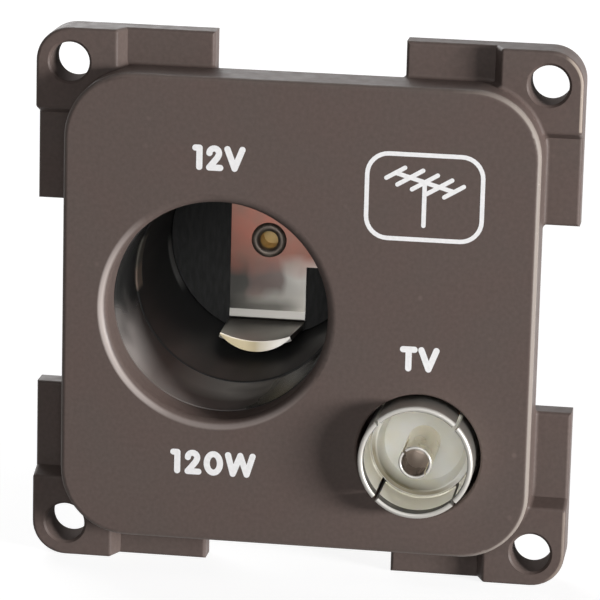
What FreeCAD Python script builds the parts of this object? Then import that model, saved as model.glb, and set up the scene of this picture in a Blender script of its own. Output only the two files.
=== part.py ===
"""Built-in vehicle module: a 12 V accessory power socket and a coaxial aerial outlet in one square moulding.

Millimetres. +Z is up and the face looks along -Y. The origin is the middle of the four screw holes, on the
back of the lugs, which is the plane that lies on the panel. Depths are measured backwards from the face.
"""
import FreeCAD, Part
import math
import os

Vec = FreeCAD.Vector

# Screw lugs: raised pad round each hole, with an arm along each of the two edges
HOLE_PITCH = 46.0
HOLE_D = 3.8
HOLE_RIM_CHAMFER = 0.25
LUG_MARGIN = 3.3
LUG_BACK = 7.7
LUG_EDGE_R = 0.35
LUG_ROOT_R = 0.4
PAD_REACH = 4.6
PAD_DEPTH = 3.6
PAD_SLOPE = 0.7
ARM_REACH = 13.8
ARM_DEPTH = 5.3

# Face and its side walls
FACE_INSET = 0.4
FACE_CORNER_R = 6.5
FACE_EDGE_R = 0.5
FACE_T = 2.2
SKIRT_LAP = 0.15
SKIRT_T = 1.8
RIB_T = 1.2

# Power socket: mouth of the moulding with the boss behind it, and the black collar inside the boss
POWER_X = -7.72
POWER_Z = 0.0
MOUTH_D = 21.4
MOUTH_LIP_R = 0.9
MOUTH_LENGTH = 3.8
COLLAR_D = 21.2
COLLAR_END = 14.5
COLLAR_T = 0.8
SEAT_LENGTH = 6.5
SEAT_CLEAR = 0.1
BOSS_T = 1.4

# Power socket: drawn cup with the bead that the moulding's hooks hold
BARREL_D = 20.94
BARREL_T = 0.6
BARREL_RIM_R = 0.3
BARREL_CORNER_R = 0.6
BEAD_REACH = 1.2
BEAD_WIDTH = 1.2
HOOK_ANGLES = (90.0, 270.0)
HOOK_SPAN = 50.0
HOOK_T = 1.3
HOOK_ROOT = 5.0
HOOK_BARB = 1.3
HOOK_CLEAR = 0.15
HOOK_LEAD = 0.6

# Power socket: contacts on the cup's floor, stacked from the clip's front backwards
CLIP_DEPTH = 33.0
CLIP_T = 0.5
CLIP_WIDTH = 8.0
CLIP_GAP = 2.02
CLIP_BEND_R = 0.25
CLIP_ARM_REACH = 7.6
CLIP_ARM_LOW = -2.7
CLIP_ARM_HIGH = 3.7
FOLD_HEIGHT = 0.95
FOLD_LEAN = 0.28
FOLD_RUN = 1.0
FINGER_LENGTH = 8.2
FINGER_SPREAD = 0.4
FINGER_CREST_WIDTH = 7.2
FINGER_CURVE_R = 9.5
FLARE_LENGTH = 0.3
FLARE_SPREAD = 1.05
FINGER_TIP_R = 5.0
FLOOR_T = 1.5
FLOOR_CLEAR = 0.12
REAR_INSULATOR_R = 5.2
REAR_INSULATOR_T = 1.2
REAR_COLLAR_T = 0.85
RIVET_SHANK_R = 1.3
RIVET_CLEAR = 0.05
RIVET_ROLL = 0.55
RIVET_ROLL_T = 0.4
RIVET_BORE_R = 0.95
RIVET_BORE_LENGTH = 2.7
RIVET_HEAD_R = 2.6
RIVET_HEAD_T = 0.9

# Blade terminals
BLADE_WIDTH = 6.3
BLADE_T = 0.8
BLADE_LENGTH = 8.5
BLADE_BEND_R = 0.4
BLADE_POINT = 1.0
POSITIVE_LOW = 4.0
POSITIVE_HIGH = 3.2
NEGATIVE_LOW = 5.6
NEGATIVE_HIGH = 9.2
SIDE_RIVET_R = 0.75
SIDE_RIVET_HEAD_R = 1.2
SIDE_RIVET_HEAD_T = 0.6

# Aerial outlet: slotted shell with a threaded port behind it
AERIAL_X = 12.15
AERIAL_Z = -12.87
AERIAL_HOLE_D = 12.0
AERIAL_HOLE_EDGE_R = 0.25
AERIAL_PROUD = 2.7
AERIAL_SEAT = 8.0
AERIAL_WEB_T = 2.0
AERIAL_BOSS_T = 1.6
AERIAL_SHELL_D = 11.06
AERIAL_SHELL_T = 0.53
AERIAL_LIP_LENGTH = 0.7
AERIAL_GROOVE = 0.13
AERIAL_FLOOR_T = 1.0
SLOT_WIDTH = 0.45
SLOT_LENGTH = 8.2
SLOT_ANGLES = (45.0, 135.0, 225.0, 315.0)
PORT_R = 4.4
THREAD_DEPTH = 0.36
PORT_END = 21.0
PORT_CHAMFER = 0.5
PORT_BORE_R = 3.6
PORT_CLEAR = 0.1
NECK_R = 2.2
NECK_END = 11.0

# Aerial outlet: insulators and centre contact
DISH_RIM_DEPTH = 3.3
DISH_FLOOR_DEPTH = 5.3
DISH_RIM_R = 4.4
DISH_FLOOR_R = 3.9
TUBE_R = 1.6
TUBE_BORE_R = 1.32
TUBE_PROUD = 2.6
TUBE_BORE_LENGTH = 8.0
TUBE_SLOT_WIDTH = 0.3
TUBE_SLOT_LENGTH = 5.0
TUBE_STEM_R = 1.0
TUBE_STEM_END = 20.0
STEM_BORE_R = 0.5
STEM_BORE_LENGTH = 5.0
PORT_PLUG_FRONT = 16.5
PORT_PLUG_END = 20.4
INSULATOR_CLEAR = 0.05

# Aerial outlet: clamping nut and toothed washer
WASHER_T = 0.6
WASHER_R = 6.6
WASHER_TEETH = 12
WASHER_TOOTH_DEPTH = 0.9
WASHER_GAP_WIDTH = 0.9
NUT_FLATS = 13.0
NUT_T = 2.5
NUT_CHAMFER = 0.4

FULL_TURN = 360.0
PAST = 1.0

# Values that follow from the sizes above
mouth_r = MOUTH_D / 2
collar_r = COLLAR_D / 2
barrel_r = BARREL_D / 2
barrel_out_r = barrel_r + BARREL_T
seat_r = barrel_out_r + SEAT_CLEAR
collar_out_r = seat_r + COLLAR_T
collar_seat_r = collar_out_r + SEAT_CLEAR
boss_r = collar_seat_r + BOSS_T
boss_end = COLLAR_END + SEAT_LENGTH
bead_r = barrel_out_r + BEAD_REACH
bead_end = boss_end + BEAD_WIDTH
face_half = (HOLE_PITCH - FACE_INSET) / 2
skirt_in = face_half - SKIRT_T
skirt_depth = ARM_DEPTH + SKIRT_LAP
clip_back = CLIP_DEPTH + CLIP_T
clip_reach = barrel_r - CLIP_GAP
clip_flat = clip_reach - FOLD_HEIGHT
finger_root = CLIP_DEPTH - FOLD_LEAN - FOLD_RUN
crest_depth = CLIP_DEPTH - FINGER_LENGTH
crest_reach = clip_reach + FINGER_SPREAD
tip_depth = crest_depth - FLARE_LENGTH
tip_reach = crest_reach + FLARE_SPREAD
floor_back = clip_back + FLOOR_T
cup_back = floor_back + BARREL_T
rear_insulator_back = cup_back + REAR_INSULATOR_T
positive_back = rear_insulator_back + BLADE_T
rivet_hole_r = RIVET_SHANK_R + RIVET_CLEAR
rear_collar_r = rivet_hole_r + REAR_COLLAR_T
side_rivet_hole_r = SIDE_RIVET_R + RIVET_CLEAR
side_rivet_z = (NEGATIVE_LOW + NEGATIVE_HIGH - BLADE_BEND_R - BLADE_T) / 2
aerial_hole_r = AERIAL_HOLE_D / 2
aerial_boss_r = aerial_hole_r + AERIAL_BOSS_T
aerial_web_back = AERIAL_SEAT + AERIAL_WEB_T
aerial_out_r = AERIAL_SHELL_D / 2
aerial_in_r = aerial_out_r - AERIAL_SHELL_T
aerial_floor = AERIAL_SEAT - AERIAL_FLOOR_T
aerial_tip = -AERIAL_PROUD
port_hole_r = PORT_R + THREAD_DEPTH + PORT_CLEAR
tube_tip = -TUBE_PROUD


def y_at(depth):
    """Y of a depth behind the face."""
    return depth - LUG_BACK


def box(x0, x1, z0, z1, depth0, depth1):
    """Block between two X, two Z and two depths."""
    return Part.makeBox(x1 - x0, depth1 - depth0, z1 - z0, Vec(x0, y_at(depth0), z0))


def rod(x, z, radius, depth0, depth1):
    """Cylinder along the depth."""
    return Part.makeCylinder(radius, depth1 - depth0, Vec(x, y_at(depth0), z), Vec(0, 1, 0))


def outline(points):
    """Closed outline. A point is a corner, or three points where the outline runs to the third by an arc."""
    edges = []
    here = points[0]
    for step in points[1:] + points[:1]:
        if isinstance(step, tuple):
            middle, end = step
            edges.append(Part.Arc(here, middle, end).toShape())
            here = end
        else:
            if here.distanceToPoint(step) > Part.Precision.confusion():
                edges.append(Part.LineSegment(here, step).toShape())
            here = step
    return Part.Wire(edges)


def turned(x, z, profile, angle=FULL_TURN, start=0.0):
    """Solid of revolution about the depth axis through X, Z. A profile point is (radius, depth), or a pair of
    such points for an arc's middle and end."""
    def place(point):
        radius, depth = point
        return Vec(x + radius, y_at(depth), z)

    points = [tuple(map(place, p)) if isinstance(p[0], tuple) else place(p) for p in profile]
    axis_point = Vec(x, 0, z)
    solid = Part.Face(outline(points)).revolve(axis_point, Vec(0, -1, 0), angle)
    if start:
        solid.rotate(axis_point, Vec(0, -1, 0), start)
    return solid


def corner(radius, depth, r, radial, axial):
    """Rounded corner of a profile: arc of size r that starts on the axial side of the corner and ends on its
    radial side. radial and axial say which way (+1 or -1) the arc's centre lies."""
    centre = (radius + radial * r, depth + axial * r)
    half = r * math.sqrt(0.5)
    middle = (centre[0] - radial * half, centre[1] - axial * half)
    return (radius, centre[1]), middle, (centre[0], depth)


def edges_on(shape, test):
    """Edges of a shape whose two ends and middle all pass a test."""
    def points(edge):
        middle = edge.valueAt((edge.FirstParameter + edge.LastParameter) / 2)
        return [v.Point for v in edge.Vertexes] + [middle]

    return [e for e in shape.Edges if all(test(p) for p in points(e))]


def near(a, b):
    """True where two lengths are the same size."""
    return abs(a - b) < 10 * Part.Precision.confusion()


def one_lug():
    """Lug of the upper right corner: a pad with sloped inner sides on two arms, rounded about its hole."""
    hole = HOLE_PITCH / 2
    outer = hole + LUG_MARGIN
    end = hole - ARM_REACH
    arm = box(end, outer, skirt_in, outer, ARM_DEPTH, LUG_BACK)
    side = box(skirt_in, outer, end, outer, ARM_DEPTH, LUG_BACK)
    pad_in = hole - PAD_REACH
    step = ARM_DEPTH - PAD_DEPTH
    top = Part.makeWedge(pad_in, 0, pad_in, pad_in - PAD_SLOPE, pad_in - PAD_SLOPE,
                         outer, step, outer, outer, outer)
    top.translate(Vec(0, y_at(PAD_DEPTH), 0))
    base = box(pad_in - PAD_SLOPE, outer, pad_in - PAD_SLOPE, outer, ARM_DEPTH, LUG_BACK)
    lug = arm.fuse([side, base, top]).removeSplitter()
    upright = edges_on(lug, lambda p: near(p.x, outer) and near(p.z, outer))
    lug = lug.makeFillet(LUG_MARGIN, upright)

    def rounded(p):
        rim = any(near(c, limit) for c in (p.x, p.z) for limit in (outer, end))
        on_arm = p.y < y_at(ARM_DEPTH) or near(p.y, y_at(ARM_DEPTH))
        return near(p.y, y_at(PAD_DEPTH)) or (rim and on_arm)

    return lug.makeFillet(LUG_EDGE_R, edges_on(lug, rounded))


def on_wall(p):
    """True on the side walls of the face, its rounded corners included."""
    straight = face_half - FACE_CORNER_R
    return near(math.hypot(max(abs(p.x) - straight, 0), max(abs(p.z) - straight, 0)), FACE_CORNER_R)


def lug_roots(shape):
    """Inside edges where the lugs' arms and pads meet the side walls of the face."""
    levels = (y_at(ARM_DEPTH), y_at(PAD_DEPTH))
    return edges_on(shape, lambda p: on_wall(p) and any(near(p.y, y) for y in levels))


def screw_hole():
    """Tool for the hole of the upper right lug, with its chamfered front rim."""
    hole = HOLE_PITCH / 2
    r = HOLE_D / 2
    rim = r + HOLE_RIM_CHAMFER
    return turned(hole, hole, [(0, PAD_DEPTH - PAST), (rim, PAD_DEPTH - PAST), (rim, PAD_DEPTH),
                               (r, PAD_DEPTH + HOLE_RIM_CHAMFER), (r, LUG_BACK + PAST), (0, LUG_BACK + PAST)])


def hook(angle):
    """Snap hook at the end of the boss, which reaches over the cup's bead."""
    inner = bead_r + HOOK_CLEAR
    outer = inner + HOOK_T
    root = boss_r - BOSS_T / 2
    barb_front = bead_end + HOOK_CLEAR
    barb_back = barb_front + HOOK_BARB
    barb_r = barrel_out_r + HOOK_CLEAR
    lead_r = barb_r + HOOK_LEAD
    profile = [(root, boss_end - HOOK_ROOT), (outer, boss_end - HOOK_ROOT + outer - root), (outer, barb_back),
               (lead_r, barb_back), (barb_r, barb_front + HOOK_LEAD), (barb_r, barb_front),
               (inner, barb_front), (inner, boss_end), (root, boss_end)]
    return turned(POWER_X, POWER_Z, profile, HOOK_SPAN, angle - HOOK_SPAN / 2)


def power_bore():
    """Tool for the mouth with its rounded lip and the collar's seat behind it."""
    lip_r = mouth_r + MOUTH_LIP_R
    lip_end, lip_middle, lip_start = corner(mouth_r, 0, MOUTH_LIP_R, 1, 1)
    return turned(POWER_X, POWER_Z, [
        (0, -PAST), (lip_r, -PAST), lip_start, (lip_middle, lip_end), (mouth_r, MOUTH_LENGTH),
        (collar_seat_r, MOUTH_LENGTH), (collar_seat_r, boss_end + PAST), (0, boss_end + PAST)])


def aerial_bore():
    """Tool for the aerial hole with its softened edge, and the smaller hole in the web that seats it."""
    edge_r = aerial_hole_r + AERIAL_HOLE_EDGE_R
    edge_end, edge_middle, edge_start = corner(aerial_hole_r, 0, AERIAL_HOLE_EDGE_R, 1, 1)
    return turned(AERIAL_X, AERIAL_Z, [
        (0, -PAST), (edge_r, -PAST), edge_start, (edge_middle, edge_end), (aerial_hole_r, AERIAL_SEAT),
        (port_hole_r, AERIAL_SEAT), (port_hole_r, aerial_web_back + PAST), (0, aerial_web_back + PAST)])


def front_moulding():
    """Face, side walls, lugs, socket boss with hooks, aerial boss and ribs, in one moulding."""
    block = box(-face_half, face_half, -face_half, face_half, 0, skirt_depth)
    uprights = edges_on(block, lambda p: near(abs(p.x), face_half) and near(abs(p.z), face_half))
    block = block.makeFillet(FACE_CORNER_R, uprights)
    rim = edges_on(block, lambda p: near(p.y, y_at(0)))
    block = block.makeFillet(FACE_EDGE_R, rim)
    hollow = box(-skirt_in, skirt_in, -skirt_in, skirt_in, FACE_T, LUG_BACK + PAST)
    inner_uprights = edges_on(hollow, lambda p: near(abs(p.x), skirt_in) and near(abs(p.z), skirt_in))
    hollow = hollow.makeFillet(FACE_CORNER_R - SKIRT_T, inner_uprights)

    lugs = []
    for turn in range(4):
        lug = one_lug()
        lug.rotate(Vec(0, 0, 0), Vec(0, 1, 0), turn * FULL_TURN / 4)
        lugs.append(lug)
    block = block.fuse(lugs).removeSplitter()
    block = block.makeFillet(LUG_ROOT_R, lug_roots(block))

    inside = skirt_in + SKIRT_T / 2
    rib_half = RIB_T / 2
    added = [rod(POWER_X, POWER_Z, boss_r, FACE_T / 2, boss_end),
             rod(AERIAL_X, AERIAL_Z, aerial_boss_r, FACE_T / 2, aerial_web_back)]
    for x, z in ((POWER_X, POWER_Z), (AERIAL_X, AERIAL_Z)):
        added.append(box(-inside, inside, z - rib_half, z + rib_half, FACE_T / 2, skirt_depth))
        added.append(box(x - rib_half, x + rib_half, -inside, inside, FACE_T / 2, skirt_depth))
    body = block.cut(hollow).fuse(added)

    cuts = [power_bore(), aerial_bore()]
    for turn in range(4):
        hole = screw_hole()
        hole.rotate(Vec(0, 0, 0), Vec(0, 1, 0), turn * FULL_TURN / 4)
        cuts.append(hole)
    body = body.cut(cuts)
    return body.fuse([hook(angle) for angle in HOOK_ANGLES]).removeSplitter()


def barrel_collar():
    """Black collar between the mouth and the cup, with the step that the cup's rim stands against."""
    return turned(POWER_X, POWER_Z, [
        (collar_r, MOUTH_LENGTH), (collar_out_r, MOUTH_LENGTH), (collar_out_r, boss_end), (seat_r, boss_end),
        (seat_r, COLLAR_END), (collar_r, COLLAR_END)])


def barrel_shell():
    """Black drawn cup: rolled front rim, bead for the hooks, and a flat rear wall with its two holes."""
    outer_corner_r = BARREL_CORNER_R + BARREL_T
    rim_start, rim_middle, rim_end = corner(barrel_r, COLLAR_END, BARREL_RIM_R, 1, 1)
    in_start, in_middle, in_end = corner(barrel_r, floor_back, BARREL_CORNER_R, -1, -1)
    out_start, out_middle, out_end = corner(barrel_out_r, cup_back, outer_corner_r, -1, -1)
    bead_middle = (bead_r, boss_end + BEAD_WIDTH / 2)
    cup = turned(POWER_X, POWER_Z, [
        (0, floor_back), in_end, (in_middle, in_start), rim_start, (rim_middle, rim_end),
        (barrel_out_r, COLLAR_END), (barrel_out_r, boss_end), (bead_r - BEAD_WIDTH / 2, boss_end),
        (bead_middle, (bead_r - BEAD_WIDTH / 2, bead_end)), (barrel_out_r, bead_end),
        out_start, (out_middle, out_end), (0, cup_back)])
    centre_hole = rod(POWER_X, POWER_Z, rear_collar_r + INSULATOR_CLEAR, floor_back - PAST, cup_back + PAST)
    side_hole = rod(POWER_X, POWER_Z + side_rivet_z, side_rivet_hole_r, floor_back - PAST, cup_back + PAST)
    return cup.cut([centre_hole, side_hole])


def floor_insulator():
    """Disc on the cup's floor, relieved at its rear edge for the cup's corner and pierced for both rivets."""
    r = barrel_r - FLOOR_CLEAR
    disc = turned(POWER_X, POWER_Z, [(0, clip_back), (r, clip_back), (r, floor_back - BARREL_CORNER_R),
                                     (r - BARREL_CORNER_R, floor_back), (0, floor_back)])
    centre = rod(POWER_X, POWER_Z, rivet_hole_r, clip_back - PAST, floor_back + PAST)
    pocket_r = SIDE_RIVET_HEAD_R + FLOOR_CLEAR
    pocket = rod(POWER_X, POWER_Z + side_rivet_z, pocket_r, clip_back - PAST, floor_back + PAST)
    return disc.cut([centre, pocket])


def behind(point, first, second):
    """Corner on the back of the clip's strip, behind a front corner of sides with these two normals."""
    return point + (first + second) * (CLIP_T / (1 + first.dot(second)))


def lower_fold():
    """Fold under the clip's base: a short leaning strip, then the bend into the finger."""
    def at(low, depth):
        return Vec(POWER_X - CLIP_WIDTH / 2, y_at(depth), POWER_Z - low)

    lean = math.atan2(FOLD_LEAN, FOLD_HEIGHT)
    back, leaning, under = Vec(0, 1, 0), Vec(0, math.cos(lean), -math.sin(lean)), Vec(0, 0, -1)
    top = at(clip_flat, CLIP_DEPTH)
    inner = at(clip_reach, CLIP_DEPTH - FOLD_LEAN)
    outer = behind(inner, leaning, under)
    profile = outline([top, inner, at(clip_reach, finger_root), at(clip_reach + CLIP_T, finger_root), outer,
                       behind(top, back, leaning), at(clip_flat, clip_back)])
    fold = Part.Face(profile).extrude(Vec(CLIP_WIDTH, 0, 0))
    for bend, r in ((inner, CLIP_BEND_R), (outer, CLIP_BEND_R + CLIP_T)):
        fold = fold.makeFillet(r, edges_on(fold, lambda p: near(p.y, bend.y) and near(p.z, bend.z)))
    return fold


def lower_finger():
    """Sprung finger: flat where it leaves the fold, curved at its crest and flared to a round tip."""
    def at(x, low, depth):
        return Vec(POWER_X + x, y_at(depth), POWER_Z - low)

    half_root = CLIP_WIDTH / 2
    under = clip_reach + CLIP_T
    root = outline([at(half_root, clip_reach, finger_root), at(-half_root, clip_reach, finger_root),
                    at(-half_root, under, finger_root), at(half_root, under, finger_root)])
    half_span = math.asin(FINGER_CREST_WIDTH / 2 / FINGER_CURVE_R)
    curve_low = crest_reach - FINGER_CURVE_R

    def arc(r):
        x, low = r * math.sin(half_span), curve_low + r * math.cos(half_span)
        return at(x, low, crest_depth), at(0, curve_low + r, crest_depth), at(-x, low, crest_depth)

    right, middle, left = arc(FINGER_CURVE_R)
    right_out, middle_out, left_out = arc(FINGER_CURVE_R + CLIP_T)
    crest = outline([right, (middle, left), left_out, (middle_out, right_out)])
    leaf = Part.makeLoft([root, crest], True, True)

    start = Vec(FINGER_CURVE_R, crest_depth, 0)
    tip = start + Vec(FLARE_SPREAD, -FLARE_LENGTH, 0)
    out = Vec(FLARE_LENGTH, FLARE_SPREAD, 0).normalize()
    sides = [start, tip, tip + out * CLIP_T, behind(start, Vec(1, 0, 0), out)]
    span = math.degrees(2 * half_span)
    flare = turned(POWER_X, POWER_Z - curve_low, [(p.x, p.y) for p in sides],
                   span, FULL_TURN * 3 / 4 - span / 2)
    tip_centre = POWER_Z - tip_reach + FINGER_TIP_R
    round_end = rod(POWER_X, tip_centre, FINGER_TIP_R, tip_depth - PAST, crest_depth + PAST)
    return leaf.fuse(flare.common(round_end))


def centre_clip():
    """Clip of one folded strip: base with a side arm, and a finger at the top and at the bottom."""
    half = CLIP_WIDTH / 2
    strip = box(POWER_X - half, POWER_X + half, POWER_Z - clip_flat, POWER_Z + clip_flat,
                CLIP_DEPTH, clip_back)
    arm = box(POWER_X, POWER_X + CLIP_ARM_REACH, POWER_Z + CLIP_ARM_LOW, POWER_Z + CLIP_ARM_HIGH,
              CLIP_DEPTH, clip_back)
    lower = lower_fold().fuse(lower_finger())
    upper = lower.mirror(Vec(POWER_X, 0, POWER_Z), Vec(0, 0, 1))
    hole = rod(POWER_X, POWER_Z, rivet_hole_r, CLIP_DEPTH - PAST, clip_back + PAST)
    return strip.fuse([arm, lower, upper]).cut(hole).removeSplitter()


def centre_rivet():
    """Hollow-ended rivet: domed head behind the positive blade, end rolled over on the clip."""
    front = CLIP_DEPTH - RIVET_ROLL_T
    roll_r = RIVET_SHANK_R + RIVET_ROLL
    roll_top = ((roll_r + RIVET_BORE_R) / 2, front)
    head_back = positive_back + RIVET_HEAD_T
    dome_r = (RIVET_HEAD_R ** 2 + RIVET_HEAD_T ** 2) / (2 * RIVET_HEAD_T)
    dome_half = math.asin(RIVET_HEAD_R / dome_r) / 2
    dome = (dome_r * math.sin(dome_half), head_back - dome_r * (1 - math.cos(dome_half)))
    return turned(POWER_X, POWER_Z, [
        (0, CLIP_DEPTH + RIVET_BORE_LENGTH), (RIVET_BORE_R, CLIP_DEPTH + RIVET_BORE_LENGTH),
        (RIVET_BORE_R, CLIP_DEPTH), (roll_top, (roll_r, CLIP_DEPTH)), (RIVET_SHANK_R, CLIP_DEPTH),
        (RIVET_SHANK_R, positive_back), (RIVET_HEAD_R, positive_back), (dome, (0, head_back))])


def rear_insulator():
    """Washer behind the cup, with the collar that keeps the rivet off the cup's wall."""
    return turned(POWER_X, POWER_Z, [
        (rivet_hole_r, floor_back), (rear_collar_r, floor_back), (rear_collar_r, cup_back),
        (REAR_INSULATOR_R, cup_back), (REAR_INSULATOR_R, rear_insulator_back),
        (rivet_hole_r, rear_insulator_back)])


def blade(seat, z_foot, z_blade, hole_z, hole_r):
    """Blade terminal: foot at depth seat from z_foot to z_blade, bent back there to a pointed end."""
    side = 1 if z_blade > z_foot else -1
    half = BLADE_WIDTH / 2
    bend_out = BLADE_BEND_R + BLADE_T
    bend_z = z_blade - side * bend_out
    bend_depth = seat + bend_out
    end = seat + BLADE_T + BLADE_LENGTH

    def at(z, depth):
        return Vec(POWER_X - half, y_at(depth), POWER_Z + z)

    def on_bend(radius):
        lean = radius * math.sqrt(0.5)
        return at(bend_z + side * lean, bend_depth - lean)

    inner_z = z_blade - side * BLADE_T
    profile = outline([
        at(z_foot, seat), at(bend_z, seat), (on_bend(bend_out), at(z_blade, bend_depth)), at(z_blade, end),
        at(inner_z, end), at(inner_z, bend_depth), (on_bend(BLADE_BEND_R), at(bend_z, seat + BLADE_T)),
        at(z_foot, seat + BLADE_T)])
    strip = Part.Face(profile).extrude(Vec(BLADE_WIDTH, 0, 0))
    point_edges = edges_on(strip, lambda p: near(p.y, y_at(end)) and near(abs(p.x - POWER_X), half))
    strip = strip.makeChamfer(BLADE_POINT, point_edges)
    return strip.cut(rod(POWER_X, POWER_Z + hole_z, hole_r, seat - PAST, seat + BLADE_T + PAST))


def positive_terminal():
    """Blade clamped by the centre rivet."""
    return blade(rear_insulator_back, POSITIVE_HIGH, -POSITIVE_LOW, 0.0, rivet_hole_r)


def negative_terminal():
    """Blade riveted to the rear wall of the cup."""
    return blade(cup_back, NEGATIVE_LOW, NEGATIVE_HIGH, side_rivet_z, side_rivet_hole_r)


def negative_rivet():
    """Small rivet with a flat head inside the cup and one on the blade."""
    z = POWER_Z + side_rivet_z
    outside = cup_back + BLADE_T
    shank = rod(POWER_X, z, SIDE_RIVET_R, floor_back - SIDE_RIVET_HEAD_T, outside + SIDE_RIVET_HEAD_T)
    inner_head = rod(POWER_X, z, SIDE_RIVET_HEAD_R, floor_back - SIDE_RIVET_HEAD_T, floor_back)
    outer_head = rod(POWER_X, z, SIDE_RIVET_HEAD_R, outside, outside + SIDE_RIVET_HEAD_T)
    return shank.fuse([inner_head, outer_head]).removeSplitter()


def aerial_shell():
    """Turned shell: slotted spring cup in front, shoulder on the web, threaded port with its bore behind."""
    lip_r = aerial_in_r
    groove_r = aerial_in_r + AERIAL_GROOVE
    lip_back = aerial_tip + AERIAL_LIP_LENGTH
    tip_middle = ((aerial_in_r + aerial_out_r) / 2, aerial_tip)
    tip_round = AERIAL_SHELL_T / 2
    body = turned(AERIAL_X, AERIAL_Z, [
        (lip_r, aerial_tip + tip_round), (tip_middle, (aerial_out_r, aerial_tip + tip_round)),
        (aerial_out_r, AERIAL_SEAT), (PORT_R, AERIAL_SEAT), (PORT_R, PORT_END - PORT_CHAMFER),
        (PORT_R - PORT_CHAMFER, PORT_END), (PORT_BORE_R, PORT_END), (PORT_BORE_R, NECK_END),
        (NECK_R, NECK_END), (NECK_R, aerial_floor), (aerial_in_r, aerial_floor), (aerial_in_r, DISH_RIM_DEPTH),
        (groove_r, DISH_RIM_DEPTH - AERIAL_GROOVE), (groove_r, lip_back + AERIAL_GROOVE), (lip_r, lip_back)])
    slots = []
    for angle in SLOT_ANGLES:
        slot = box(AERIAL_X, AERIAL_X + aerial_out_r + PAST, AERIAL_Z - SLOT_WIDTH / 2,
                   AERIAL_Z + SLOT_WIDTH / 2, aerial_tip - PAST, aerial_tip + SLOT_LENGTH)
        slot.rotate(Vec(AERIAL_X, 0, AERIAL_Z), Vec(0, -1, 0), angle)
        slots.append(slot)
    return body.cut(slots)


def aerial_front_insulator():
    """Ivory dish in the shell: rim, sloped wall, floor, and the neck that carries the centre contact."""
    r = aerial_in_r - INSULATOR_CLEAR
    neck_r = NECK_R - INSULATOR_CLEAR
    return turned(AERIAL_X, AERIAL_Z, [
        (TUBE_R, DISH_FLOOR_DEPTH), (DISH_FLOOR_R, DISH_FLOOR_DEPTH), (DISH_RIM_R, DISH_RIM_DEPTH),
        (r, DISH_RIM_DEPTH), (r, aerial_floor), (neck_r, aerial_floor), (neck_r, NECK_END),
        (TUBE_STEM_R, NECK_END), (TUBE_STEM_R, aerial_floor), (TUBE_R, aerial_floor)])


def aerial_centre_contact():
    """Slit tube for the plug's pin, on a stem with a small socket at the rear port."""
    edge = (TUBE_R - TUBE_BORE_R) / 2
    tip_middle = ((TUBE_R + TUBE_BORE_R) / 2, tube_tip)
    bore_end = tube_tip + TUBE_BORE_LENGTH
    stem_bore = TUBE_STEM_END - STEM_BORE_LENGTH
    contact = turned(AERIAL_X, AERIAL_Z, [
        (0, bore_end), (TUBE_BORE_R, bore_end), (TUBE_BORE_R, tube_tip + edge),
        (tip_middle, (TUBE_R, tube_tip + edge)), (TUBE_R, aerial_floor), (TUBE_STEM_R, aerial_floor),
        (TUBE_STEM_R, TUBE_STEM_END), (STEM_BORE_R, TUBE_STEM_END), (STEM_BORE_R, stem_bore), (0, stem_bore)])
    slit = box(AERIAL_X - TUBE_R - PAST, AERIAL_X + TUBE_R + PAST, AERIAL_Z - TUBE_SLOT_WIDTH / 2,
               AERIAL_Z + TUBE_SLOT_WIDTH / 2, tube_tip - PAST, tube_tip + TUBE_SLOT_LENGTH)
    slit.rotate(Vec(AERIAL_X, 0, AERIAL_Z), Vec(0, -1, 0), SLOT_ANGLES[1])
    return contact.cut(slit)


def aerial_rear_insulator():
    """Plug of insulation that centres the stem in the rear port."""
    r = PORT_BORE_R - INSULATOR_CLEAR
    return turned(AERIAL_X, AERIAL_Z, [(TUBE_STEM_R, PORT_PLUG_FRONT), (r, PORT_PLUG_FRONT),
                                       (r, PORT_PLUG_END), (TUBE_STEM_R, PORT_PLUG_END)])


def aerial_lock_washer():
    """Toothed washer on the back of the web."""
    back = aerial_web_back + WASHER_T
    ring = rod(AERIAL_X, AERIAL_Z, WASHER_R, aerial_web_back, back)
    cuts = [rod(AERIAL_X, AERIAL_Z, port_hole_r, aerial_web_back - PAST, back + PAST)]
    for tooth in range(WASHER_TEETH):
        gap = box(AERIAL_X + WASHER_R - WASHER_TOOTH_DEPTH, AERIAL_X + WASHER_R + PAST,
                  AERIAL_Z - WASHER_GAP_WIDTH / 2, AERIAL_Z + WASHER_GAP_WIDTH / 2,
                  aerial_web_back - PAST, back + PAST)
        gap.rotate(Vec(AERIAL_X, 0, AERIAL_Z), Vec(0, -1, 0), tooth * FULL_TURN / WASHER_TEETH)
        cuts.append(gap)
    return ring.cut(cuts)


def aerial_nut():
    """Hexagon nut with chamfered corners on its rear side."""
    front = aerial_web_back + WASHER_T
    back = front + NUT_T
    corner_r = NUT_FLATS / 2 / math.cos(math.pi / 6)
    points = [Vec(AERIAL_X + corner_r * math.cos(a), y_at(front), AERIAL_Z + corner_r * math.sin(a))
              for a in (k * math.pi / 3 for k in range(6))]
    hexagon = Part.Face(outline(points)).extrude(Vec(0, NUT_T, 0))
    drop = NUT_CHAMFER + corner_r - NUT_FLATS / 2
    dome = turned(AERIAL_X, AERIAL_Z, [(0, front), (corner_r, front), (corner_r, back - drop / 2),
                                       (corner_r - drop, back), (0, back)])
    bore = rod(AERIAL_X, AERIAL_Z, PORT_R + PORT_CLEAR / 2, front - PAST, back + PAST)
    return hexagon.common(dome).cut(bore)


PIECES = (front_moulding, barrel_collar, barrel_shell, floor_insulator, centre_clip, centre_rivet,
          rear_insulator, positive_terminal, negative_terminal, negative_rivet, aerial_shell,
          aerial_front_insulator, aerial_centre_contact, aerial_rear_insulator, aerial_lock_washer,
          aerial_nut)

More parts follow.
